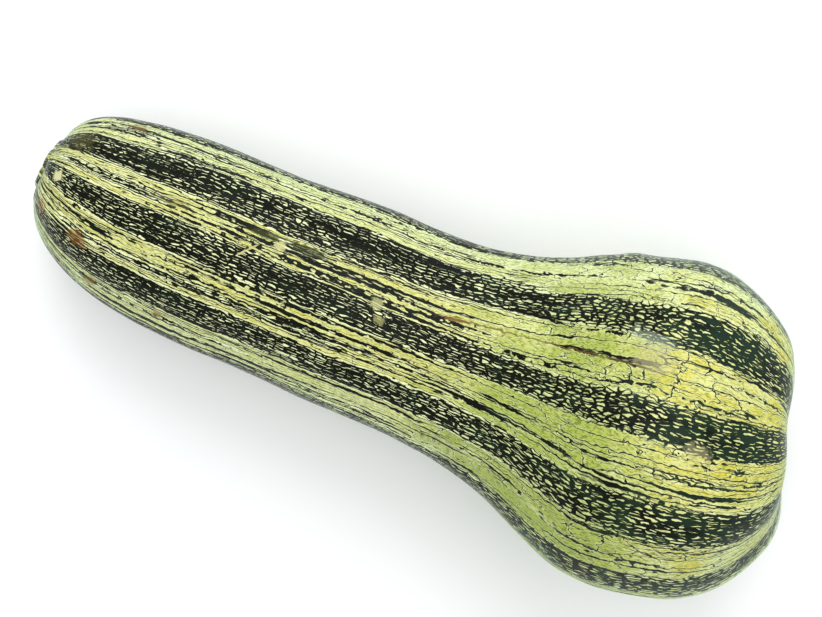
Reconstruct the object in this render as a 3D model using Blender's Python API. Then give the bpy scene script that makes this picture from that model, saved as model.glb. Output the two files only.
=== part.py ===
"""Long-necked striped calabaza squash, picked and lying on its side.

The whole fruit grew as one piece, so it is one solid: a nearly straight neck, a swollen seed bulb, a shallow
basin with the corky stem scar at one end and a broad five-lobed base with the blossom scar at the other.

Units are metres and +Z is up. The fruit lies along X with its stem end at -X. It rests on two flat spots in
the plane Z = 0, one under the neck and one under the bulb, and the origin is below the middle of its box.
Angles round the fruit run from +Y towards +Z, so 90 degrees is the top line of the lying fruit.
"""

import math

import bmesh
import bpy
from mathutils import Euler, Vector

# Driving dimensions of the two rounded ends, along the fruit's own axis
STEM_TIP_X = -0.2080
STEM_CAP_LENGTH = 0.1245
STEM_CAP_POWER = 2.69
BLOSSOM_TIP_X = 0.1942
BLOSSOM_CAP_LENGTH = 0.0596
BLOSSOM_CAP_POWER = 1.94
BODY_START_X = STEM_TIP_X + STEM_CAP_LENGTH
BODY_END_X = BLOSSOM_TIP_X - BLOSSOM_CAP_LENGTH

# Radius of the neck, the waist and the swelling bulb between the two ends
SHOULDER_RADIUS = 0.0510
BULB_RADIUS = 0.0824
BODY_RADII = (
    (BODY_START_X, SHOULDER_RADIUS),
    (-0.040, 0.0521),
    (0.000, 0.0512),
    (0.030, 0.0542),
    (0.055, 0.0610),
    (0.078, 0.0713),
    (0.098, 0.0792),
    (BODY_END_X, BULB_RADIUS),
)

# The fruit grew bent: its axis bows sideways, and both ends look towards +Y, the bulb also upwards
BOW = (
    (-0.205, 0.0054),
    (-0.165, 0.0002),
    (-0.115, -0.0010),
    (-0.060, -0.0012),
    (0.010, -0.0010),
    (0.060, 0.0014),
    (0.105, 0.0000),
    (0.150, 0.0114),
    (0.195, 0.0249),
)
STEM_END_TURN = math.radians(5.1)
BULB_TURN = math.radians(17.0)
BULB_LIFT = math.radians(11.0)
BULB_TURN_START_X = 0.040
BULB_TURN_END_X = 0.150

# Basins and scars at the two ends
STEM_BASIN_RADIUS = 0.0446
STEM_BASIN_DEPTH = 0.0058
STEM_SCAR_RADIUS = 0.0130
STEM_SCAR_HEIGHT = 0.0022
STEM_SCAR_CORNERS = 5
STEM_SCAR_CORNER_SHARE = 0.10
STEM_SCAR_PIT_RADIUS = 0.0060
STEM_SCAR_PIT_DEPTH = 0.0014
BLOSSOM_BASIN_RADIUS = 0.0552
BLOSSOM_BASIN_DEPTH = 0.0115
BLOSSOM_DIMPLE_RADIUS = 0.0220
BLOSSOM_DIMPLE_DEPTH = 0.0030
BLOSSOM_SCAR_RADIUS = 0.0062
BLOSSOM_SCAR_HEIGHT = 0.0013

# Lobes of the base, and the low ribs that run the whole length between the dark bands
LOBES = 5
LOBE_SHARE = 0.0170
LOBE_START_X = 0.085
LOBE_END_X = 0.185
BASE_FURROW_DEPTH = 0.0010
RIBS = 10
RIB_HEIGHT = 0.00045
FURROW_ANGLE = math.radians(72.0)

# Slow unevenness of the grown skin: height, waves round the fruit, waves along it per metre, phase
SWELLINGS = ((0.0006, 2, 21.0, 0.4), (0.0005, 3, -33.0, 1.3), (0.0003, 4, 52.0, 2.6))

# How the fruit lies: height of its axis at the two places where it sinks to its ground spots
NECK_REST_X = -0.145
NECK_REST_HEIGHT = 0.0485
BULB_REST_X = 0.112
BULB_REST_HEIGHT = 0.0778

# Facets
SEGMENTS_AROUND = 80
STEM_CAP_RINGS = 15
BODY_RINGS = 19
BLOSSOM_CAP_RINGS = 16
STEM_END_RADII = (0.0028, 0.0055, 0.0085, 0.0112, 0.0126, 0.0138, 0.0165, 0.0215, 0.0275)
BLOSSOM_END_RADII = (0.0024, 0.0046, 0.0058, 0.0070, 0.0100, 0.0160, 0.0230, 0.0300)

RIND_COLOUR = (0.36, 0.38, 0.11, 1.0)
RIND_ROUGHNESS = 0.42


def ease(start, end, value):
    """0 before start, 1 after end, and a smooth step between them."""
    share = min(1.0, max(0.0, (value - start) / (end - start)))
    return share * share * (3 - 2 * share)


def dish(radius, dish_radius):
    """Depth share of a shallow round dish: 1 in the middle and 0 at its rim."""
    return max(0.0, 1 - (radius / dish_radius) ** 2) ** 2


def plateau(radius, edge_radius):
    """1 on a low disc and 0 outside it, with a rounded step at its edge."""
    return 1 - ease(0.90 * edge_radius, 1.10 * edge_radius, radius)


def curve_through(stations, x, level_ends):
    """Smooth curve through pairs of (x, value), level at both ends or running straight on there."""
    count = len(stations)
    slopes = []
    for number in range(count):
        before = max(0, number - 1)
        after = min(count - 1, number + 1)
        slope = (stations[after][1] - stations[before][1]) / (stations[after][0] - stations[before][0])
        slopes.append(0.0 if level_ends and after - before == 1 else slope)
    x = min(stations[-1][0], max(stations[0][0], x))
    left = next(number for number in range(count - 1) if x <= stations[number + 1][0])
    (x0, value0), (x1, value1) = stations[left], stations[left + 1]
    step = x1 - x0
    share = (x - x0) / step
    swing = share * (1 - share) * step * (slopes[left] * (1 - share) - slopes[left + 1] * share)
    return value0 + (value1 - value0) * ease(x0, x1, x) + swing


def body_radius(x):
    """Radius of the fruit between its two rounded ends."""
    return curve_through(BODY_RADII, x, level_ends=True)


def stem_end_x(radius):
    """Where the stem end's rounded shoulder has this radius, with its basin and stem scar."""
    depth = 1 - (1 - min(1.0, radius / SHOULDER_RADIUS) ** STEM_CAP_POWER) ** (1 / STEM_CAP_POWER)
    basin = STEM_BASIN_DEPTH * dish(radius, STEM_BASIN_RADIUS)
    scar = STEM_SCAR_HEIGHT * plateau(radius, STEM_SCAR_RADIUS)
    pit = STEM_SCAR_PIT_DEPTH * dish(radius, STEM_SCAR_PIT_RADIUS)
    return STEM_TIP_X + STEM_CAP_LENGTH * depth + basin - scar + pit


def blossom_end_x(radius):
    """Where the blossom end's rounded base has this radius, with its basin, dimple and blossom scar."""
    depth = 1 - (1 - min(1.0, radius / BULB_RADIUS) ** BLOSSOM_CAP_POWER) ** (1 / BLOSSOM_CAP_POWER)
    basin = BLOSSOM_BASIN_DEPTH * dish(radius, BLOSSOM_BASIN_RADIUS)
    dimple = BLOSSOM_DIMPLE_DEPTH * dish(radius, BLOSSOM_DIMPLE_RADIUS)
    scar = BLOSSOM_SCAR_HEIGHT * plateau(radius, BLOSSOM_SCAR_RADIUS)
    return BLOSSOM_TIP_X - BLOSSOM_CAP_LENGTH * depth - basin - dimple + scar


def rounded_radii(first, last, power, count):
    """Radii from first to last whose points sit evenly along a rounded end."""
    start = math.asin((first / last) ** (power / 2))
    steps = (start + (math.pi / 2 - start) * step / count for step in range(1, count + 1))
    return [last * math.sin(angle) ** (2 / power) for angle in steps]


def meridian():
    """Half outline from pole to pole: a list of (x, radius) with each pole left out."""
    stem_radii = list(STEM_END_RADII)
    stem_radii += rounded_radii(STEM_END_RADII[-1], SHOULDER_RADIUS, STEM_CAP_POWER, STEM_CAP_RINGS)
    blossom_radii = list(BLOSSOM_END_RADII)
    blossom_radii += rounded_radii(BLOSSOM_END_RADII[-1], BULB_RADIUS, BLOSSOM_CAP_POWER, BLOSSOM_CAP_RINGS)
    line = [(stem_end_x(radius), radius) for radius in stem_radii]
    for step in range(1, BODY_RINGS):
        x = BODY_START_X + (BODY_END_X - BODY_START_X) * step / BODY_RINGS
        line.append((x, body_radius(x)))
    line += [(blossom_end_x(radius), radius) for radius in reversed(blossom_radii)]
    return line


def axis_point(x):
    """A point on the fruit's axis when neck and bulb both lie on the ground."""
    slope = (BULB_REST_HEIGHT - NECK_REST_HEIGHT) / (BULB_REST_X - NECK_REST_X)
    side = curve_through(BOW, x, level_ends=False)
    return Vector((x, side, NECK_REST_HEIGHT + slope * (x - NECK_REST_X)))


def ring_turn(x, radius):
    """How a ring of the skin is turned: the stem end looks aside, the bulb aside and upwards."""
    turned = ease(BULB_TURN_START_X, BULB_TURN_END_X, x)
    aside = BULB_TURN * turned
    if x < BODY_START_X:
        aside = -STEM_END_TURN * (1 - (radius / SHOULDER_RADIUS) ** 2)
    return Euler((0.0, -BULB_LIFT * turned, aside)).to_matrix()


def skin_radius(x, radius, angle):
    """Radius at one angle round the fruit, with lobes, ribs, stem scar corners and slow unevenness."""
    share_out = min(1.0, radius / SHOULDER_RADIUS)
    lobe = LOBE_SHARE * ease(LOBE_START_X, LOBE_END_X, x) * math.cos(LOBES * (angle - FURROW_ANGLE))
    rib = RIB_HEIGHT * share_out * math.cos(RIBS * (angle - FURROW_ANGLE))
    scar_share = plateau(radius, 1.6 * STEM_SCAR_RADIUS) if x < 0 else 0.0
    corner = STEM_SCAR_CORNER_SHARE * scar_share * math.cos(STEM_SCAR_CORNERS * angle)
    uneven = sum(
        height * math.sin(around * angle + along * x + phase) for height, around, along, phase in SWELLINGS
    )
    return radius * (1 - lobe + corner) - rib + uneven * share_out


def base_furrow(x, radius, angle):
    """How far the furrows between the lobes are drawn in over the base, deepest at two thirds of its radius."""
    if x < BODY_END_X:
        return 0.0
    share = radius / BULB_RADIUS
    hump = share**2 * (1 - share) * 27 / 4
    return BASE_FURROW_DEPTH * hump * math.cos(LOBES * (angle - FURROW_ANGLE))


def skin_point(x, radius, angle):
    """A point of the skin in the lying fruit's frame."""
    reach = skin_radius(x, radius, angle)
    offset = Vector((-base_furrow(x, radius, angle), reach * math.cos(angle), reach * math.sin(angle)))
    return axis_point(x) + ring_turn(x, radius) @ offset


def move_ring(vertices, x, radius):
    """Lays one ring of vertices on the skin."""
    for number, vertex in enumerate(vertices):
        vertex.co = skin_point(x, radius, 2 * math.pi * number / SEGMENTS_AROUND)


def build_skin(shape):
    """Grows the fruit ring by ring from the stem end to the blossom end, and closes both poles."""
    line = meridian()
    ring = bmesh.ops.create_circle(shape, segments=SEGMENTS_AROUND, radius=STEM_END_RADII[0])["verts"]
    move_ring(ring, *line[0])
    first_ring = ring
    for x, radius in line[1:]:
        edges = [shape.edges.get((ring[i - 1], ring[i])) for i in range(SEGMENTS_AROUND)]
        grown = bmesh.ops.extrude_edge_only(shape, edges=edges)["geom"]
        fresh = {item for item in grown if isinstance(item, bmesh.types.BMVert)}
        ring = [next(e.other_vert(v) for e in v.link_edges if e.other_vert(v) in fresh) for v in ring]
        move_ring(ring, x, radius)
    for pole_ring, pole_x in ((first_ring, stem_end_x(0.0)), (ring, blossom_end_x(0.0))):
        cap = bmesh.ops.contextual_create(shape, geom=[pole_ring[0], *pole_ring[1:]])["faces"]
        fan = bmesh.ops.poke(shape, faces=cap)
        fan["verts"][0].co = skin_point(pole_x, 0.0, 0.0)


def cut_resting_spots(shape):
    """Flattens the skin where it lies on the ground, under the neck and under the bulb."""
    everything = [*shape.verts, *shape.edges, *shape.faces]
    cut = bmesh.ops.bisect_plane(
        shape, geom=everything, plane_co=(0, 0, 0), plane_no=(0, 0, -1), clear_outer=True
    )
    rims = [item for item in cut["geom_cut"] if isinstance(item, bmesh.types.BMEdge)]
    bmesh.ops.edgenet_fill(shape, edges=rims)


def centre_over_origin(shape):
    """Moves the fruit along the ground until the origin is below the middle of its box."""
    for axis in (0, 1):
        places = [vertex.co[axis] for vertex in shape.verts]
        middle = (min(places) + max(places)) / 2
        for vertex in shape.verts:
            vertex.co[axis] -= middle


def rind_material():
    material = bpy.data.materials.new("rind")
    material.use_nodes = True
    shader = material.node_tree.nodes["Principled BSDF"]
    shader.inputs["Base Color"].default_value = RIND_COLOUR
    shader.inputs["Roughness"].default_value = RIND_ROUGHNESS
    shader.inputs["Metallic"].default_value = 0.0
    return material


def build_fruit():
    shape = bmesh.new()
    build_skin(shape)
    cut_resting_spots(shape)
    centre_over_origin(shape)
    bmesh.ops.recalc_face_normals(shape, faces=shape.faces)
    mesh = bpy.data.meshes.new("fruit")
    shape.to_mesh(mesh)
    shape.free()
    mesh.shade_smooth()
    mesh.set_sharp_from_angle(angle=math.radians(40))
    fruit = bpy.data.objects.new("fruit", mesh)
    bpy.context.collection.objects.link(fruit)
    mesh.materials.append(rind_material())
    return fruit


def main():
    for old in list(bpy.data.objects):
        bpy.data.objects.remove(old)
    build_fruit()


main()
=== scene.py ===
"""Looks of the long-necked striped squash that lies on its side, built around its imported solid.

Units are metres and +Z is up. The fruit lies along X with its stem end at -X. Angles round the fruit run from
+Y towards +Z, so 90 degrees is the top line of the lying fruit.
"""

import math

import bpy
import numpy as np
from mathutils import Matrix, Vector, noise


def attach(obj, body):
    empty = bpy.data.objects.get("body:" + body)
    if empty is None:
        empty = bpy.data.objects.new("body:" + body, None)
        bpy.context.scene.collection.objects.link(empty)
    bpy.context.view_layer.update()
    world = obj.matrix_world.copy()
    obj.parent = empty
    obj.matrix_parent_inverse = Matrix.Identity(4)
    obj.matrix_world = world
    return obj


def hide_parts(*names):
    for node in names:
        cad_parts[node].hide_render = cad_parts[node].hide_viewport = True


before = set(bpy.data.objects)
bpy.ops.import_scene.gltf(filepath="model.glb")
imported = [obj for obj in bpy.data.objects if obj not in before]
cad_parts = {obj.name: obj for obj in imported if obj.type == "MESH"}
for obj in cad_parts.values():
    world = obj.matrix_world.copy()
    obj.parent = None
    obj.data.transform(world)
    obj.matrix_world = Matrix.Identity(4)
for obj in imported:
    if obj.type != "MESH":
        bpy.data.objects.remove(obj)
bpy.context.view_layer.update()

# Form of the fruit along its own axis: the two rounded ends, and the radii of neck, waist and bulb between
STEM_TIP_X = -0.2080
STEM_CAP_LENGTH = 0.1245
STEM_CAP_POWER = 2.69
BLOSSOM_TIP_X = 0.1942
BLOSSOM_CAP_LENGTH = 0.0596
BLOSSOM_CAP_POWER = 1.94
BODY_START_X = STEM_TIP_X + STEM_CAP_LENGTH
BODY_END_X = BLOSSOM_TIP_X - BLOSSOM_CAP_LENGTH
SHOULDER_RADIUS = 0.0510
BULB_RADIUS = 0.0824
BODY_RADII = (
    (BODY_START_X, SHOULDER_RADIUS),
    (-0.040, 0.0521),
    (0.000, 0.0512),
    (0.030, 0.0542),
    (0.055, 0.0610),
    (0.078, 0.0713),
    (0.098, 0.0792),
    (BODY_END_X, BULB_RADIUS),
)

# The bend that it grew with, and how it lies on the ground
BOW = (
    (-0.205, 0.0054),
    (-0.165, 0.0002),
    (-0.115, -0.0010),
    (-0.060, -0.0012),
    (0.010, -0.0010),
    (0.060, 0.0014),
    (0.105, 0.0000),
    (0.150, 0.0114),
    (0.195, 0.0249),
)
STEM_END_TURN = math.radians(5.1)
BULB_TURN = math.radians(17.0)
BULB_LIFT = math.radians(11.0)
BULB_TURN_START_X = 0.040
BULB_TURN_END_X = 0.150
NECK_REST_X = -0.145
NECK_REST_HEIGHT = 0.0485
BULB_REST_X = 0.112
BULB_REST_HEIGHT = 0.0778
GROUND_ROUNDING = 0.0004

# Basins, scars, lobes and ribs
STEM_BASIN_RADIUS = 0.0446
STEM_BASIN_DEPTH = 0.0058
STEM_SCAR_RADIUS = 0.0130
STEM_SCAR_HEIGHT = 0.0022
STEM_SCAR_CORNERS = 5
STEM_SCAR_CORNER_SHARE = 0.10
STEM_SCAR_CORNER_RADIUS = 1.6 * STEM_SCAR_RADIUS
STEM_SCAR_PIT_RADIUS = 0.0060
STEM_SCAR_PIT_DEPTH = 0.0014
BLOSSOM_BASIN_RADIUS = 0.0552
BLOSSOM_BASIN_DEPTH = 0.0115
BLOSSOM_DIMPLE_RADIUS = 0.0220
BLOSSOM_DIMPLE_DEPTH = 0.0030
BLOSSOM_SCAR_RADIUS = 0.0062
BLOSSOM_SCAR_HEIGHT = 0.0013
LOBES = 5
LOBE_SHARE = 0.0170
LOBE_START_X = 0.085
LOBE_END_X = 0.185
BASE_FURROW_DEPTH = 0.0010
RIBS = 10
RIB_HEIGHT = 0.00045
FURROW_ANGLE = math.radians(72.0)

# Slow swellings of the body: height, waves round the fruit, radians to the metre along it, start in radians
SWELLINGS = ((0.0006, 2, 21.0, 0.4), (0.0005, 3, -33.0, 1.3), (0.0003, 4, 52.0, 2.6))

# Fineness of the modelled skin
STEPS_AROUND = 360
SKIN_STEP = 0.0021
SCAR_STEP = 0.0008
SCAR_REACH = 0.0180
OUTLINE_SAMPLES = 4000
MERGE_DISTANCE = 0.00001

# Fine unevenness of the skin that the solid leaves out. A facet wave has its count round the fruit, its
# radians to the metre along it and its start in radians.
FACET_HEIGHT = 0.00016
FACET_WAVES = ((23, 9.0, 1.0), (37, -14.0, 0.0), (58, 5.0, 0.0))
FACET_FADE = (0.03, 0.10)
LUMP_HEIGHT = 0.00030
LUMP_SIZE = 0.0140
LUMP_SEED = 3.0
CORK_HEIGHT = 0.00035
CORK_SIZE = 0.0016
CORK_SEED = 7.0

# Middle of each dark band in degrees, at these places along the fruit
BAND_PLACES = (-0.187, -0.122, -0.053, 0.017, 0.060, 0.111, 0.144, 0.175)
BAND_MIDDLES = (
    (9, 10, 9, 10, 11, 11, 12, 12),
    (56, 59, 59, 56, 56, 54, 56, 58),
    (92, 91, 91, 91, 91, 85, 88, 91),
    (131, 129, 126, 123, 123, 119, 121, 128),
    (168, 168, 168, 166, 160, 154, 153, 154),
    (203, 203, 203, 202, 198, 191, 190, 190),
    (237, 236, 238, 237, 233, 227, 226, 226),
    (271, 270, 269, 271, 269, 264, 263, 262),
    (303, 304, 303, 304, 303, 300, 299, 298),
    (337, 336, 337, 338, 337, 336, 336, 335),
)
BANDS = len(BAND_MIDDLES)

# Half width of each dark band, in shares of the spacing, at these places along the fruit
BAND_WIDTH_PLACES = (-0.190, -0.110, 0.020, 0.090, 0.170)
BAND_HALF_WIDTHS = (
    (0.26, 0.30, 0.28, 0.27, 0.26),
    (0.22, 0.27, 0.21, 0.18, 0.23),
    (0.24, 0.25, 0.21, 0.18, 0.22),
    (0.24, 0.22, 0.20, 0.21, 0.24),
    (0.22, 0.25, 0.25, 0.19, 0.20),
    (0.24, 0.27, 0.23, 0.19, 0.22),
    (0.21, 0.24, 0.25, 0.21, 0.20),
    (0.25, 0.28, 0.22, 0.18, 0.23),
    (0.23, 0.25, 0.24, 0.20, 0.21),
    (0.24, 0.27, 0.22, 0.19, 0.22),
)
BAND_EDGE = 0.055

# Narrow dark streaks in the pale strips. Each has its place round the fruit in band spacings, its start and
# end along the fruit, its half width in spacings and its strength.
STREAKS = (
    (0.52, -0.190, -0.150, 0.070, 0.75),
    (0.70, -0.150, -0.115, 0.060, 0.85),
    (0.76, -0.115, 0.050, 0.045, 0.80),
    (0.50, -0.150, -0.060, 0.025, 0.70),
    (0.55, -0.030, 0.020, 0.030, 0.65),
    (1.52, -0.196, -0.132, 0.085, 0.80),
    (1.42, -0.078, -0.052, 0.075, 0.90),
    (1.25, -0.190, -0.120, 0.030, 0.60),
    (2.35, -0.190, -0.140, 0.018, 0.45),
    (2.62, -0.185, -0.030, 0.048, 0.75),
    (2.55, -0.070, 0.040, 0.022, 0.45),
    (2.48, 0.120, 0.165, 0.055, 0.55),
    (3.42, -0.180, -0.070, 0.030, 0.75),
    (3.60, -0.140, 0.010, 0.028, 0.75),
    (3.30, -0.160, -0.030, 0.020, 0.60),
    (4.45, -0.185, -0.060, 0.045, 0.75),
    (4.62, -0.090, 0.040, 0.035, 0.65),
    (5.40, -0.180, -0.080, 0.030, 0.70),
    (5.60, -0.120, 0.050, 0.045, 0.70),
    (6.52, -0.190, -0.110, 0.065, 0.75),
    (6.38, -0.090, 0.030, 0.028, 0.65),
    (7.45, -0.170, -0.030, 0.040, 0.75),
    (7.63, -0.120, 0.060, 0.025, 0.60),
    (8.40, -0.190, -0.090, 0.035, 0.70),
    (8.58, -0.080, 0.040, 0.045, 0.65),
    (9.48, -0.180, -0.060, 0.050, 0.75),
)

# How far a streak tapers outside and inside its ends, and where its edge begins and ends in half widths
STREAK_TAPER_OUTSIDE = 0.008
STREAK_TAPER_INSIDE = 0.012
STREAK_EDGE_START = 0.4
STREAK_EDGE_END = 1.9

# Side of the bulb that stays greenest, and top line of the fruit: away from it, painted sheen whitens the
# pale rind
GREEN_SIDE_ANGLE = math.radians(128.0)
SHEEN_FREE_TOP_ANGLE = math.radians(92.0)

# Stretches of the fruit over which the bulb's pattern, the base's colours and the green of the greenest side
# set in, and over which most of that green is lost again
BULB_PATTERN = (0.000, 0.105)
BASE_COLOURS = (0.080, 0.165)
GREEN_START = (-0.02, 0.06)
GREEN_FADE = (0.095, 0.150)
GREEN_LOSS = 0.75

# Lengthwise sizes of the rind's streaks and of its net's cells, on the neck and on the bulb, and the stretch
# over which one gives way to the other
NECK_STREAK_LENGTH = 0.0130
BULB_STREAK_LENGTH = 0.0085
NECK_CELL_LENGTH = 0.0038
BULB_CELL_LENGTH = 0.0046
LENGTH_CHANGE = (0.000, 0.100)

# Rolled-out patterns: cells in a radian round the fruit and in a cell length along it, and the push in cells
NET_CELLS = (40.0, 0.75, 0.0)
NET_PUSH = (1.5, 1.0, 0.0)
WIDE_NET_CELLS = (13.0, 0.31, 0.0)
WIDE_NET_PUSH = (1.2, 0.7, 0.0)
WOBBLE_FINENESS = (14.0, 0.22, 0.0)
STRANDS_PER_RADIAN = 32.0
STRAND_WOBBLE = 3.6

# Fineness of the leaf-green specks in the cells of the net
SPECK_FINENESS = (2.6, 2.2, 1.0)

# Fineness of the thin line that hides where the rolled-out rind meets itself, along the underside
SEAM_FINENESS = 42.0

# Patterns drawn out along the fruit: fineness across it, twice, and in a streak length along it
STREAK_FINENESS = (17.0, 17.0, 0.20)
STRAND_FINENESS = (40.0, 40.0, 0.20)
BREAK_FINENESS = (9.0, 9.0, 0.22)
VEIN_FINENESS = (15.0, 15.0, 0.07)
VEIN_PUSH = (0.6, 0.6, 0.1)

# Even patterns: fineness to the metre
PUSH_FINENESS = 200.0
PATCH_FINENESS = 60.0
MOTTLE_FINENESS = 700.0
RAGGED_FINENESS = 330.0
GRAIN_FINENESS = 420.0
CRACK_CELLS = (300.0, 420.0, 420.0)

# Long thin scratch on the waist: a straight line as seen from above, its waver, and the stretches over which
# its sides, its lower side, its start and its end fade
SCRATCH_Y = 0.0066
SCRATCH_SLOPE = 0.152
SCRATCH_WAVER = 0.0035
SCRATCH_HALF_WIDTH = (0.00055, 0.00025)
SCRATCH_HEIGHT = (0.105, 0.112)
SCRATCH_START = (0.004, 0.014)
SCRATCH_END = (0.120, 0.100)

# Floor, soft lights (name, place, size, power and tint) and pale surroundings
FLOOR_SIZE = 6.0
FLOOR_TINT = (0.90, 0.90, 0.90, 1.0)
LIGHTS = (
    ("window", (-0.8, 2.4, 3.1), 2.4, 66.0, (1.0, 1.0, 1.0)),
    ("overhead", (0.2, -0.5, 4.5), 3.2, 72.0, (1.0, 0.99, 0.97)),
)
LIGHT_AIM = Vector((0.0, 0.0, 0.05))
SURROUNDINGS_TINT = (0.93, 0.97, 1.0, 1.0)
SURROUNDINGS_STRENGTH = 0.78

# Camera straight above the fruit, and its lens
CAMERA_PLACE = Vector((-0.00327, 0.00584, 1.0))
CAMERA_ROLL = math.radians(22.91)
LENS_MM = 83.16
SENSOR_WIDTH_MM = 36.0


def ease(start, end, value):
    """0 before start, 1 after end, and a smooth step between them."""
    share = np.clip((value - start) / (end - start), 0.0, 1.0)
    return share * share * (3 - 2 * share)


def dish(radius, dish_radius):
    """Depth share of a shallow round dish: 1 in the middle and 0 at its rim."""
    return np.maximum(0.0, 1 - (radius / dish_radius) ** 2) ** 2


def plateau(radius, edge_radius):
    """1 on a low disc and 0 outside it, with a rounded step at its edge."""
    return 1 - ease(0.90 * edge_radius, 1.10 * edge_radius, radius)


def on_scars(x, radius, stem_radius, blossom_radius):
    """1 on the corky scars at both ends, out to these radii, and 0 elsewhere."""
    return plateau(radius, stem_radius) * (x < 0) + plateau(radius, blossom_radius) * (x > 0)


def curve_through(stations, x, level_ends):
    """Smooth curve through pairs of (x, value), level at both ends or running straight on there."""
    places = np.array([station[0] for station in stations])
    values = np.array([station[1] for station in stations], dtype=float)
    slopes = np.empty(len(places))
    slopes[1:-1] = (values[2:] - values[:-2]) / (places[2:] - places[:-2])
    slopes[0] = 0.0 if level_ends else (values[1] - values[0]) / (places[1] - places[0])
    slopes[-1] = 0.0 if level_ends else (values[-1] - values[-2]) / (places[-1] - places[-2])
    x = np.clip(x, places[0], places[-1])
    left = np.clip(np.searchsorted(places, x, side="right") - 1, 0, len(places) - 2)
    step = places[left + 1] - places[left]
    share = (x - places[left]) / step
    swing = share * (1 - share) * step * (slopes[left] * (1 - share) - slopes[left + 1] * share)
    rise = values[left + 1] - values[left]
    return values[left] + rise * share * share * (3 - 2 * share) + swing


def stem_end_x(radius):
    """Where the stem end's rounded shoulder has this radius, with its basin and stem scar."""
    share = np.minimum(1.0, radius / SHOULDER_RADIUS)
    depth = 1 - (1 - share**STEM_CAP_POWER) ** (1 / STEM_CAP_POWER)
    basin = STEM_BASIN_DEPTH * dish(radius, STEM_BASIN_RADIUS)
    scar = STEM_SCAR_HEIGHT * plateau(radius, STEM_SCAR_RADIUS)
    pit = STEM_SCAR_PIT_DEPTH * dish(radius, STEM_SCAR_PIT_RADIUS)
    return STEM_TIP_X + STEM_CAP_LENGTH * depth + basin - scar + pit


def blossom_end_x(radius):
    """Where the blossom end's rounded base has this radius, with its basin, dimple and blossom scar."""
    share = np.minimum(1.0, radius / BULB_RADIUS)
    depth = 1 - (1 - share**BLOSSOM_CAP_POWER) ** (1 / BLOSSOM_CAP_POWER)
    basin = BLOSSOM_BASIN_DEPTH * dish(radius, BLOSSOM_BASIN_RADIUS)
    dimple = BLOSSOM_DIMPLE_DEPTH * dish(radius, BLOSSOM_DIMPLE_RADIUS)
    scar = BLOSSOM_SCAR_HEIGHT * plateau(radius, BLOSSOM_SCAR_RADIUS)
    return BLOSSOM_TIP_X - BLOSSOM_CAP_LENGTH * depth - basin - dimple + scar


def meridian():
    """Half outline from pole to pole: an array of (x, radius), evenly stepped and finer on the two scars."""
    quarter = np.linspace(0.0, math.pi / 2, OUTLINE_SAMPLES)
    stem_radii = SHOULDER_RADIUS * np.sin(quarter) ** (2 / STEM_CAP_POWER)
    blossom_radii = BULB_RADIUS * np.sin(quarter[::-1]) ** (2 / BLOSSOM_CAP_POWER)
    body_x = np.linspace(BODY_START_X, BODY_END_X, OUTLINE_SAMPLES)[1:-1]
    x = np.concatenate([stem_end_x(stem_radii), body_x, blossom_end_x(blossom_radii)])
    body_radii = curve_through(BODY_RADII, body_x, level_ends=True)
    radius = np.concatenate([stem_radii, body_radii, blossom_radii])
    step = np.hypot(np.diff(x), np.diff(radius))
    fineness = np.where(0.5 * (radius[1:] + radius[:-1]) < SCAR_REACH, SCAR_STEP, SKIN_STEP)
    count = np.concatenate([[0.0], np.cumsum(step / fineness)])
    stations = np.linspace(0.0, count[-1], round(count[-1]) + 1)
    return np.column_stack([np.interp(stations, count, x), np.interp(stations, count, radius)])


def begin_edit(piece):
    """Opens one piece in edit mode, with nothing else selected."""
    bpy.ops.object.select_all(action="DESELECT")
    piece.select_set(True)
    bpy.context.view_layer.objects.active = piece
    bpy.ops.object.mode_set(mode="EDIT")


def spun_fruit():
    """The fruit before it bends: its half outline, drawn point by point and spun about its own axis."""
    outline = meridian()
    bpy.ops.object.select_all(action="DESELECT")
    bpy.ops.mesh.primitive_plane_add(size=SKIN_STEP)
    piece = bpy.context.object
    begin_edit(piece)
    bpy.ops.mesh.merge(type="CENTER")
    bpy.ops.transform.translate(value=(outline[0, 0], 0.0, 0.0))
    for start, end in zip(outline[:-1], outline[1:]):
        move = (end[0] - start[0], end[1] - start[1], 0.0)
        bpy.ops.mesh.extrude_vertices_move(TRANSFORM_OT_translate={"value": move})
    bpy.ops.mesh.select_all(action="SELECT")
    bpy.ops.mesh.spin(steps=STEPS_AROUND, angle=2 * math.pi, center=(0, 0, 0), axis=(1, 0, 0))
    bpy.ops.mesh.select_all(action="SELECT")
    bpy.ops.mesh.remove_doubles(threshold=MERGE_DISTANCE)
    bpy.ops.mesh.normals_make_consistent(inside=False)
    bpy.ops.object.mode_set(mode="OBJECT")
    piece.name = "rind"
    piece.data.name = "rind"
    return piece, outline


def read_places(mesh):
    """The places of all points of a mesh."""
    places = np.empty(3 * len(mesh.vertices))
    mesh.vertices.foreach_get("co", places)
    return places.reshape(-1, 3)


def write_attribute(mesh, name, values):
    """Keeps three values for each point of the skin, for its material."""
    attribute = mesh.attributes.new(name, "FLOAT_VECTOR", "POINT")
    attribute.data.foreach_set("vector", np.column_stack(values).astype(np.float32).ravel())


def from_outline(outline, values, x, radius):
    """Values that are known at the outline's points, for any points of the straight fruit."""
    bearings = np.arctan2(outline[:, 1], -outline[:, 0])
    return np.interp(np.arctan2(radius, -x), bearings, values)


def lengths_along(outline, neck_length, bulb_length):
    """How many lengths lie between the stem pole and each point of the outline."""
    length = neck_length + (bulb_length - neck_length) * ease(*LENGTH_CHANGE, outline[:, 0])
    steps = np.hypot(*np.diff(outline, axis=0).T)
    return np.concatenate([[0.0], np.cumsum(steps / length[1:])])


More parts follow.
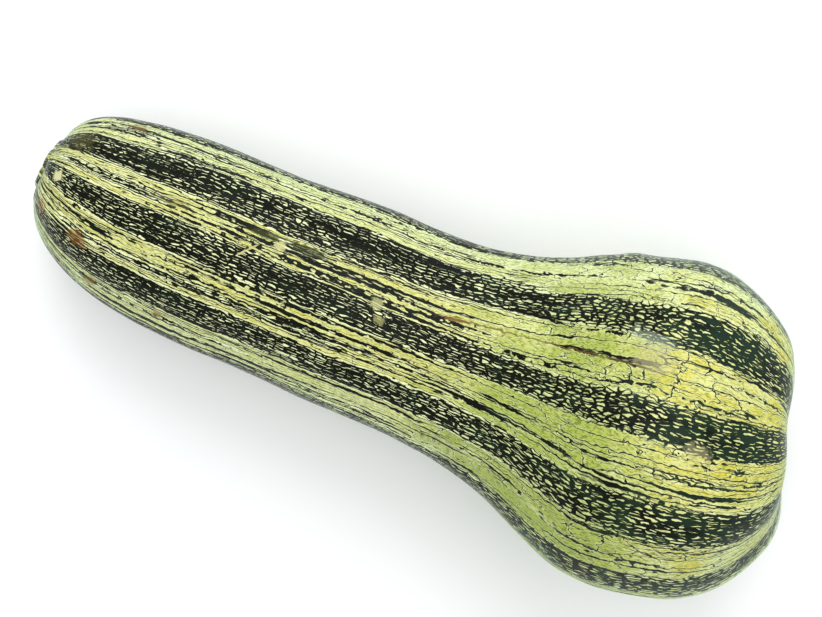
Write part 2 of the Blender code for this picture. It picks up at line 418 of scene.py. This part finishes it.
def band_turn(x, angle):
    """Place round the fruit in band spacings: whole numbers run along the middles of the dark bands."""
    degrees = np.degrees(angle)
    middles = [curve_through(list(zip(BAND_PLACES, row)), x, level_ends=False) for row in BAND_MIDDLES]
    middles.append(middles[0] + 360)
    degrees = np.where(degrees < middles[0], degrees + 360, degrees)
    turn = np.zeros_like(degrees)
    for number in range(BANDS):
        share = (degrees - middles[number]) / (middles[number + 1] - middles[number])
        turn = np.where((share >= 0) & (share <= 1), number + share, turn)
    return turn


def around(turn, middle):
    """Distance round the fruit in band spacings."""
    return np.abs((turn - middle + BANDS / 2) % BANDS - BANDS / 2)


def darkness(turn, x):
    """How dark the rind is meant to be: 1 in the dark bands and 0 in the pale strips."""
    dark = np.zeros_like(turn)
    for number, widths in enumerate(BAND_HALF_WIDTHS):
        half = curve_through(list(zip(BAND_WIDTH_PLACES, widths)), x, level_ends=True)
        dark = np.maximum(dark, 1 - ease(half - BAND_EDGE, half + BAND_EDGE, around(turn, number)))
    for middle, start, end, half, strength in STREAKS:
        begun = ease(start - STREAK_TAPER_OUTSIDE, start + STREAK_TAPER_INSIDE, x)
        ended = ease(end - STREAK_TAPER_INSIDE, end + STREAK_TAPER_OUTSIDE, x)
        across = 1 - ease(STREAK_EDGE_START * half, STREAK_EDGE_END * half, around(turn, middle))
        dark = np.maximum(dark, strength * begun * (1 - ended) * across)
    return dark


def field(places, size, seed):
    """Slow noise from -1 to 1 with lumps of this size, the same on each run."""
    return np.array([noise.noise(Vector(place) / size + Vector((seed, 0, 0))) for place in places])


def skin_places(x, radius, angle, outline):
    """Where each point of the straight fruit lies on the bent, lobed and lying one."""
    share_out = np.minimum(1.0, radius / SHOULDER_RADIUS)
    lobe = LOBE_SHARE * ease(LOBE_START_X, LOBE_END_X, x) * np.cos(LOBES * (angle - FURROW_ANGLE))
    rib = RIB_HEIGHT * share_out * np.cos(RIBS * (angle - FURROW_ANGLE))
    near_scar = plateau(radius, STEM_SCAR_CORNER_RADIUS) * (x < 0)
    corner = STEM_SCAR_CORNER_SHARE * near_scar * np.cos(STEM_SCAR_CORNERS * angle)
    swelling = sum(
        height * np.sin(waves * angle + along * x + start) for height, waves, along, start in SWELLINGS
    )
    reach = radius * (1 - lobe + corner) - rib + swelling * share_out

    # The furrows of the base, deepest at two thirds of the bulb's radius, where the hump is 1
    share = radius / BULB_RADIUS
    hump = share**2 * (1 - share) * 27 / 4
    furrow = BASE_FURROW_DEPTH * hump * np.cos(LOBES * (angle - FURROW_ANGLE)) * (x > BODY_END_X)

    straight = np.column_stack([x, radius * np.cos(angle), radius * np.sin(angle)])
    relief = LUMP_HEIGHT * share_out * field(straight, LUMP_SIZE, LUMP_SEED)
    facet = sum(np.sin(count * angle + along * x + start) for count, along, start in FACET_WAVES)
    relief += FACET_HEIGHT / len(FACET_WAVES) * share_out * facet * (1 - ease(*FACET_FADE, x))
    cork = on_scars(x, radius, 1.1 * STEM_SCAR_RADIUS, BLOSSOM_SCAR_RADIUS)
    relief += CORK_HEIGHT * cork * field(straight, CORK_SIZE, CORK_SEED)
    slope = np.gradient(outline, axis=0)
    slope /= np.linalg.norm(slope, axis=1)[:, None]
    reach = reach + relief * from_outline(outline, slope[:, 0], x, radius)
    ahead = relief * from_outline(outline, -slope[:, 1], x, radius) - furrow

    # The bend, the bulb's lift and the ground, which flattens what would lie below it
    turned = ease(BULB_TURN_START_X, BULB_TURN_END_X, x)
    stem_turn = STEM_END_TURN * (1 - share_out**2)
    aside = np.where(x < BODY_START_X, -stem_turn, BULB_TURN * turned)
    lift = BULB_LIFT * turned
    across = reach * np.cos(angle)
    up = reach * np.sin(angle)
    forward = ahead * np.cos(lift) - up * np.sin(lift)
    rest_slope = (BULB_REST_HEIGHT - NECK_REST_HEIGHT) / (BULB_REST_X - NECK_REST_X)
    height = NECK_REST_HEIGHT + rest_slope * (x - NECK_REST_X) + ahead * np.sin(lift) + up * np.cos(lift)
    side = curve_through(BOW, x, level_ends=False) + forward * np.sin(aside) + across * np.cos(aside)
    height = 0.5 * (height + np.hypot(height, GROUND_ROUNDING))
    return np.column_stack([x + forward * np.cos(aside) - across * np.sin(aside), side, height])


def grow_fruit():
    """Models the whole fruit and keeps the values that its rind's pattern follows."""
    piece, outline = spun_fruit()
    straight = read_places(piece.data)
    x = straight[:, 0]
    radius = np.hypot(straight[:, 1], straight[:, 2])
    angle = np.arctan2(straight[:, 2], straight[:, 1]) % (2 * math.pi)
    placed = skin_places(x, radius, angle, outline)
    low, high = placed[:, :2].min(axis=0), placed[:, :2].max(axis=0)
    placed[:, :2] -= (low + high) / 2
    piece.data.vertices.foreach_set("co", placed.ravel())
    piece.data.update()

    turn = band_turn(x, angle)
    round_angle = turn * 2 * math.pi / BANDS
    streaks = from_outline(outline, lengths_along(outline, NECK_STREAK_LENGTH, BULB_STREAK_LENGTH), x, radius)
    cells = from_outline(outline, lengths_along(outline, NECK_CELL_LENGTH, BULB_CELL_LENGTH), x, radius)
    write_attribute(piece.data, "rind_place", (np.cos(round_angle), np.sin(round_angle), streaks))
    write_attribute(piece.data, "rind_cells", (np.zeros_like(x), cells, np.zeros_like(x)))
    tone = (darkness(turn, x), ease(*BULB_PATTERN, x), ease(*BASE_COLOURS, x))
    write_attribute(piece.data, "rind_tone", tone)
    shaded = 0.5 + 0.5 * np.cos(angle - GREEN_SIDE_ANGLE)
    green = shaded * ease(*GREEN_START, x) * (1 - GREEN_LOSS * ease(*GREEN_FADE, x))
    # Painted sheen: 1 on the top line and less towards the sides, where the pale rind is painted a paler
    # cream
    ripe = 0.5 + 0.5 * np.cos(angle - SHEEN_FREE_TOP_ANGLE)
    cork = on_scars(x, radius, 0.82 * STEM_SCAR_RADIUS, 1.1 * BLOSSOM_SCAR_RADIUS)
    write_attribute(piece.data, "rind_hue", (green, ripe, cork))
    bpy.ops.object.shade_smooth()
    return piece


class Value:
    """A socket in a material. Arithmetic on it adds Math nodes."""

    def __init__(self, finish, socket):
        self.finish = finish
        self.socket = socket

    def math(self, operation, *sockets):
        return self.finish.add("ShaderNodeMath", {"operation": operation}, sockets)

    def __add__(self, other):
        return self.math("ADD", self, other)

    __radd__ = __add__

    def __sub__(self, other):
        return self.math("SUBTRACT", self, other)

    def __rsub__(self, other):
        return self.math("SUBTRACT", other, self)

    def __mul__(self, other):
        return self.math("MULTIPLY", self, other)

    __rmul__ = __mul__

    def over(self, other):
        """The larger of two values."""
        return self.math("MAXIMUM", self, other)

    def under(self, other):
        """The smaller of two values."""
        return self.math("MINIMUM", self, other)

    def turn_from(self, other):
        """The angle whose sine and cosine are as the two values."""
        return self.math("ARCTAN2", self, other)

    def ripple(self):
        """Distance to the nearest whole number."""
        return self.math("PINGPONG", self, 0.5)

    def size(self):
        """The value without its sign."""
        return self.math("ABSOLUTE", self)


class Finish:
    """One material, and the nodes that are added to it."""

    def __init__(self, name):
        self.material = bpy.data.materials.new(name)
        self.material.use_nodes = True
        self.tree = self.material.node_tree
        self.shader = self.tree.nodes["Principled BSDF"]

    def add(self, kind, settings, sockets, output=0):
        """Adds a node: its settings first, then the values or links of its sockets, by place or by name."""
        node = self.tree.nodes.new(kind)
        for name, setting in settings.items():
            setattr(node, name, setting)
        places = sockets if isinstance(sockets, dict) else dict(enumerate(sockets))
        for place, value in places.items():
            self.join(node.inputs[place], value)
        return Value(self, node.outputs[output])

    def join(self, socket, value):
        """Links a value to a socket, or sets a plain number, vector or colour on it."""
        if isinstance(value, Value):
            self.tree.links.new(value.socket, socket)
        else:
            socket.default_value = value

    def shade(self, **values):
        """Sets the shader's sockets: words in a name are joined by an underscore."""
        for name, value in values.items():
            self.join(self.shader.inputs[name.replace("_", " ")], value)

    def step(self, value, start, end):
        """0 below start, 1 above end, and a smooth step between them."""
        settings = {"interpolation_type": "SMOOTHSTEP"}
        return self.add("ShaderNodeMapRange", settings, {"Value": value, "From Min": start, "From Max": end})

    def blend(self, amount, under, over):
        """Mixes two colours."""
        sockets = {0: amount, 6: under, 7: over}
        return self.add("ShaderNodeMix", {"data_type": "RGBA"}, sockets, output=2)

    def vector(self, operation, *sockets):
        """Arithmetic on vectors."""
        return self.add("ShaderNodeVectorMath", {"operation": operation}, sockets)

    def attribute(self, name):
        """Three values that the mesh keeps for each point."""
        return self.add("ShaderNodeAttribute", {"attribute_name": name}, (), output="Vector")

    def parts(self, vector):
        """The three values of a vector."""
        split = self.add("ShaderNodeSeparateXYZ", {}, (vector,))
        return [Value(self, socket) for socket in split.socket.node.outputs]

    def noise(self, place, scale, detail, rough, output="Fac"):
        """Soft noise, from 0 to 1."""
        sockets = {"Vector": place, "Scale": scale, "Detail": detail, "Roughness": rough}
        return self.add("ShaderNodeTexNoise", {}, sockets, output)

    def cell_edges(self, place, dimensions="3D"):
        """Distance to the nearest edge of a net of cells one unit across."""
        settings = {"feature": "DISTANCE_TO_EDGE", "voronoi_dimensions": dimensions}
        return self.add("ShaderNodeTexVoronoi", settings, {"Vector": place, "Scale": 1.0}, "Distance")


def colour(red, green, blue):
    """A colour given in the 0 to 255 values of a colour picker, as the shader wants it."""
    shares = (value / 255 for value in (red, green, blue))
    linear = [share / 12.92 if share < 0.04045 else ((share + 0.055) / 1.055) ** 2.4 for share in shares]
    return (*linear, 1.0)


CREAM = colour(236, 238, 190)
# Painted sheen: the paler cream that the pale rind turns to on the fruit's sides
PAINTED_SHEEN_CREAM = colour(233, 241, 194)
PALE_YELLOW = colour(214, 205, 108)
LIGHT_GREEN = colour(168, 178, 86)
LEAF_GREEN = colour(104, 120, 40)
RIPE_YELLOW = colour(216, 200, 72)
DEEP_GREEN = colour(30, 48, 34)
BLACK_GREEN = colour(12, 15, 5)
SCRATCH_BROWN = colour(104, 80, 34)
DULL_CORK = colour(132, 114, 74)
PALE_CORK = colour(190, 174, 128)
CRACK_BROWN = colour(70, 58, 34)

# The rind's coat lets green through best, which shows where it is seen at a slant
COAT_TINT = (0.72, 1.0, 0.93, 1.0)

# Marks on the skin, and one painted highlight: middle, turn seen from above, reach in x, y and z, strength
# and colour
MARKS_AND_HIGHLIGHT = (
    ((-0.1880, -0.0013, 0.0772), 0.0, (0.0040, 0.0034, 0.0060), 1.0, colour(205, 198, 148)),
    ((-0.1651, -0.0258, 0.0850), 0.3, (0.0080, 0.0045, 0.0080), 0.6, colour(122, 78, 26)),
    ((-0.1900, -0.0180, 0.0700), 0.6, (0.0070, 0.0030, 0.0080), 0.35, colour(168, 124, 62)),
    ((-0.1615, 0.0359, 0.0673), 0.0, (0.0060, 0.0030, 0.0060), 0.5, colour(140, 110, 66)),
    ((-0.1154, -0.0444, 0.0823), 0.0, (0.0030, 0.0022, 0.0050), 0.7, colour(132, 104, 58)),
    ((-0.1540, -0.0428, 0.0731), 0.0, (0.0045, 0.0028, 0.0060), 0.6, colour(120, 90, 44)),
    ((-0.1840, 0.0195, 0.0728), 0.0, (0.0100, 0.0070, 0.0100), 0.55, colour(78, 72, 34)),
    ((-0.1280, 0.0085, 0.0950), 0.0, (0.0160, 0.0030, 0.0100), 0.40, colour(96, 90, 48)),
    ((-0.0851, 0.0011, 0.1068), -0.85, (0.0075, 0.0006, 0.0100), 0.8, colour(196, 190, 130)),
    ((-0.0713, 0.0094, 0.1064), 0.0, (0.0034, 0.0030, 0.0100), 0.75, colour(210, 206, 142)),
    ((-0.0592, 0.0120, 0.1071), 0.0, (0.0120, 0.0026, 0.0100), 0.85, colour(48, 52, 22)),
    ((-0.0805, 0.0112, 0.1060), 0.0, (0.0095, 0.0022, 0.0100), 0.8, colour(56, 60, 26)),
    ((-0.0192, 0.0015, 0.1144), 0.0, (0.0036, 0.0034, 0.0100), 0.55, colour(198, 196, 138)),
    ((-0.0150, -0.0050, 0.1140), 0.0, (0.0034, 0.0024, 0.0100), 0.5, colour(176, 172, 110)),
    ((0.0174, 0.0089, 0.1165), -0.2, (0.0080, 0.0012, 0.0100), 0.8, colour(126, 92, 44)),
    # Painted highlight: a grey-green smear on the top of the bulb
    ((0.1017, 0.0351, 0.1494), 0.0, (0.0130, 0.0050, 0.0140), 0.32, colour(170, 180, 162)),
    ((0.1058, 0.0260, 0.1540), 0.0, (0.0120, 0.0070, 0.0140), 0.40, colour(192, 182, 136)),
    ((0.1387, -0.0042, 0.1610), 0.0, (0.0080, 0.0050, 0.0100), 0.28, colour(196, 184, 138)),
)


class Rind(Finish):
    """The rind's finish, with the places, tones and noises that its patterns share."""

    def __init__(self):
        super().__init__("striped_rind")
        self.place = self.attribute("rind_place")
        self.dark_meant, self.bulb, self.base = self.parts(self.attribute("rind_tone"))
        self.green_meant, self.ripe, self.cork = self.parts(self.attribute("rind_hue"))
        self.spot = self.add("ShaderNodeTexCoord", {}, (), output="Object")
        push = self.noise(self.spot, PUSH_FINENESS, 2.0, 0.6, output="Color")
        self.push = self.vector("SUBTRACT", push, (0.5, 0.5, 0.5))
        self.patches = self.noise(self.spot, PATCH_FINENESS, 2.0, 0.5) - 0.5
        self.mottle = self.noise(self.spot, MOTTLE_FINENESS, 3.0, 0.6)
        self.ragged = self.noise(self.spot, RAGGED_FINENESS, 3.0, 0.65) - 0.5
        self.grain = self.noise(self.spot, GRAIN_FINENESS, 5.0, 0.65)
        self.streaks = self.drawn_out(self.place, STREAK_FINENESS, 4.0, 0.62) - 0.5
        self.breaks = self.drawn_out(self.place, BREAK_FINENESS, 3.0, 0.6)
        self.dark_wish = self.wished_darkness()
        self.turn, self.flat_place = self.rolled_out()
        self.net_place = self.pushed(self.flat_place, NET_CELLS, NET_PUSH)

    def drawn_out(self, place, fineness, detail, rough):
        """Noise with a fineness of its own in each direction."""
        return self.noise(self.vector("MULTIPLY", place, fineness), 1.0, detail, rough)

    def pushed(self, place, cells, reach):
        """The place counted in a pattern's cells, and pushed about a little so that its lines waver."""
        counted = self.vector("MULTIPLY", place, cells)
        return self.vector("ADD", counted, self.vector("MULTIPLY", self.push, reach))

    def wished_darkness(self):
        """How dark the rind is meant to be, broken up by streaks and finer strands along the fruit."""
        strands = self.drawn_out(self.place, STRAND_FINENESS, 2.0, 0.5) - 0.5
        wish = self.dark_meant * 1.03 + self.streaks * (0.45 + 0.10 * self.dark_meant)
        wish = wish + strands * (0.45 + 0.45 * self.dark_meant)
        return wish.under(1 - 0.04 * self.bulb + 0.08 * self.base)

    def rolled_out(self):
        """Radians round the fruit, 0 near its top line, and the place on the rind rolled out flat."""
        across, up, _ = self.parts(self.place)
        turn = across.turn_from(up)
        round_place = self.add("ShaderNodeCombineXYZ", {}, (turn, 0.0, 0.0))
        return turn, self.vector("ADD", round_place, self.attribute("rind_cells"))

    def dark_net(self):
        """1 on the dark net: its lines are wide in the dark bands and fade out in the pale strips."""
        sideways, _, _ = self.parts(self.push)
        wobble = self.drawn_out(self.flat_place, WOBBLE_FINENESS, 2.0, 0.5)
        strand = (self.turn * STRANDS_PER_RADIAN + wobble * STRAND_WOBBLE + sideways).ripple()
        strand = strand - 0.10 + 0.18 * self.bulb - 0.14 * self.base
        cell_edge = self.cell_edges(self.net_place, "2D") + 0.11 * (1 - self.bulb) + 0.04 * self.base
        seam = (math.pi - self.turn.size()) * SEAM_FINENESS
        width = self.dark_wish * (0.300 - 0.03 * self.bulb) - 0.035
        return self.step(width - cell_edge.under(strand).under(seam), -0.03, 0.03)

    def thin_lines(self):
        """1 on the thin dark lines that wander along the pale strips, and 1 on and beside them."""
        netted = self.step(self.breaks, 0.42, 0.56)
        wide_net = self.cell_edges(self.pushed(self.flat_place, WIDE_NET_CELLS, WIDE_NET_PUSH), "2D")
        wander = netted * (0.030 + 0.016 * self.bulb) * (1 - 0.6 * self.dark_meant) - 0.014 - wide_net
        veined = self.step(self.breaks, 0.70, 0.50)
        crest = (self.noise(self.pushed(self.place, VEIN_FINENESS, VEIN_PUSH), 1.0, 1.5, 0.5) - 0.5).size()
        vein = veined * (0.052 - 0.016 * self.bulb) * (1 - 0.5 * self.dark_meant) - 0.006 - crest
        line = self.step(wander, -0.016, 0.016).over(self.step(vein, -0.012, 0.012))
        beside = (netted * self.step(wander, -0.10, 0.0)).over(veined * self.step(vein, -0.05, 0.0))
        return line, beside

    def pale_skin(self, beside_line):
        """Pale rind: cream beside the dark lines, yellow and green further in, and a painted sheen that pales
        it to cream on the sides.
        """
        green = self.step(self.green_meant + self.patches * 1.2 + (self.mottle - 0.5) * 0.8, 0.15, 0.95)
        # Painted sheen: away from the top line the pale rind turns from yellow to a paler cream
        yellow = self.ripe * self.ripe * (0.9 + self.patches)
        pale = self.blend(green, self.blend(yellow, PAINTED_SHEEN_CREAM, PALE_YELLOW), LIGHT_GREEN)
        pale = self.blend(self.base * self.step(self.patches + self.mottle, 0.42, 0.75), pale, RIPE_YELLOW)
        beside_band = self.step(self.dark_wish, 0.10, 0.50) * (0.85 - 0.45 * self.bulb)
        cream = beside_band.over(beside_line * (0.6 - 0.2 * self.bulb))
        pale = self.blend(cream, pale, CREAM)
        specks = self.step(self.drawn_out(self.net_place, SPECK_FINENESS, 2.0, 0.6), 0.50, 0.58)
        return self.blend(specks * (0.55 + 0.25 * green) * (1 - cream * 0.7), pale, LEAF_GREEN)

    def deep_skin(self):
        """Dark rind: nearly black, and deep green in patches, most of them on the bulb."""
        patched = self.step(self.patches + self.streaks + self.base * 0.25, -0.05, 0.35)
        return self.blend(patched * (0.35 + 0.65 * self.bulb), BLACK_GREEN, DEEP_GREEN)

    def marked_and_highlit(self, skin):
        """Adds the marks of its life: scars, scuffs, specks of rust and one long scratch, and one painted
        highlight on the bulb.
        """
        for middle, angle, reach, strength, tint in MARKS_AND_HIGHLIGHT:
            away = self.vector("SUBTRACT", self.spot, middle)
            if angle:
                sockets = {"Vector": away, "Angle": angle}
                away = self.add("ShaderNodeVectorRotate", {"rotation_type": "Z_AXIS"}, sockets)
            away = self.vector("DIVIDE", away, reach)
            away = self.add("ShaderNodeVectorMath", {"operation": "LENGTH"}, (away,), "Value")
            skin = self.blend(self.step(1 - away + self.ragged * 1.8, 0.0, 0.4) * strength, skin, tint)
        spot_x, spot_y, spot_z = self.parts(self.spot)
        aside = (spot_y - SCRATCH_Y - SCRATCH_SLOPE * spot_x + self.ragged * SCRATCH_WAVER).size()
        scratch = self.step(aside, *SCRATCH_HALF_WIDTH) * self.step(spot_z, *SCRATCH_HEIGHT)
        scratch = scratch * self.step(spot_x, *SCRATCH_START) * self.step(spot_x, *SCRATCH_END)
        return self.blend(scratch * 0.8, skin, SCRATCH_BROWN)

    def corked(self, skin):
        """Adds the corky scars at both ends, with their grain and cracks."""
        crack_place = self.pushed(self.spot, CRACK_CELLS, (1.0, 1.0, 1.0))
        cracks = self.step(self.cell_edges(crack_place) + (self.grain - 0.5) * 0.3, 0.10, 0.03)
        cracks = cracks * self.step(self.cork, 0.5, 0.9)
        corky = self.blend(self.step(self.grain, 0.36, 0.64), DULL_CORK, PALE_CORK)
        corky = self.blend(cracks * 0.8, corky, CRACK_BROWN)
        return self.blend(self.step(self.cork + self.ragged * 0.6, 0.35, 0.65), skin, corky)


def rind_finish():
    """Green and cream rind: dark bands of a close net over pale strips with thin broken lines."""
    rind = Rind()
    line, beside_line = rind.thin_lines()
    dark = rind.dark_net().over(line)
    skin = rind.blend(dark, rind.pale_skin(beside_line), rind.deep_skin())
    facing = rind.add("ShaderNodeLayerWeight", {}, {"Blend": 0.35}, "Facing")
    height = rind.mottle * 0.5 + rind.patches * 1.2 + rind.grain * rind.cork * 3.0
    relief = {"Strength": 0.35, "Distance": 0.0006, "Height": height}
    rind.shade(
        Base_Color=rind.corked(rind.marked_and_highlit(skin)),
        Roughness=0.44 + 0.16 * rind.mottle - 0.05 * dark + 0.3 * rind.cork,
        Specular_IOR_Level=0.03,
        Coat_Weight=(0.10 + 0.7 * facing * facing) * (1 - rind.cork),
        Coat_Roughness=0.34,
        Coat_Tint=COAT_TINT,
        Normal=rind.add("ShaderNodeBump", {}, relief, "Normal"),
    )
    return rind.material


def dress_fruit():
    """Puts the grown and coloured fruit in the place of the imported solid."""
    fruit = grow_fruit()
    fruit.data.materials.append(rind_finish())
    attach(fruit, "root")
    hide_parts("fruit")


def lay_floor():
    """Plain pale floor under the fruit."""
    bpy.ops.object.select_all(action="DESELECT")
    bpy.ops.mesh.primitive_plane_add(size=FLOOR_SIZE, location=(0.0, 0.0, 0.0))
    floor = bpy.context.object
    floor.name = "floor"
    paint = Finish("floor_paint")
    paint.shade(Base_Color=FLOOR_TINT, Roughness=0.75)
    floor.data.materials.append(paint.material)


def soft_light(name, place, size, power, tint):
    """A square soft light that faces the fruit."""
    light = bpy.data.lights.new(name, "AREA")
    light.size = size
    light.energy = power
    light.color = tint
    lamp = bpy.data.objects.new(name, light)
    bpy.context.collection.objects.link(lamp)
    lamp.location = place
    lamp.rotation_euler = (LIGHT_AIM - Vector(place)).to_track_quat("-Z", "Y").to_euler()


def light_studio():
    """Soft light from above and from the far side, and pale surroundings."""
    world = bpy.data.worlds.new("studio")
    world.use_nodes = True
    world.node_tree.nodes["Background"].inputs["Color"].default_value = SURROUNDINGS_TINT
    world.node_tree.nodes["Background"].inputs["Strength"].default_value = SURROUNDINGS_STRENGTH
    bpy.context.scene.world = world
    for light in LIGHTS:
        soft_light(*light)


def place_camera():
    """Camera straight above the fruit."""
    view = bpy.data.cameras.new("camera")
    view.lens = LENS_MM
    view.sensor_width = SENSOR_WIDTH_MM
    camera = bpy.data.objects.new("camera", view)
    bpy.context.collection.objects.link(camera)
    camera.location = CAMERA_PLACE
    camera.rotation_euler = (0.0, 0.0, CAMERA_ROLL)
    bpy.context.scene.camera = camera
    bpy.context.scene.view_settings.view_transform = "Standard"


dress_fruit()
lay_floor()
light_studio()
place_camera()
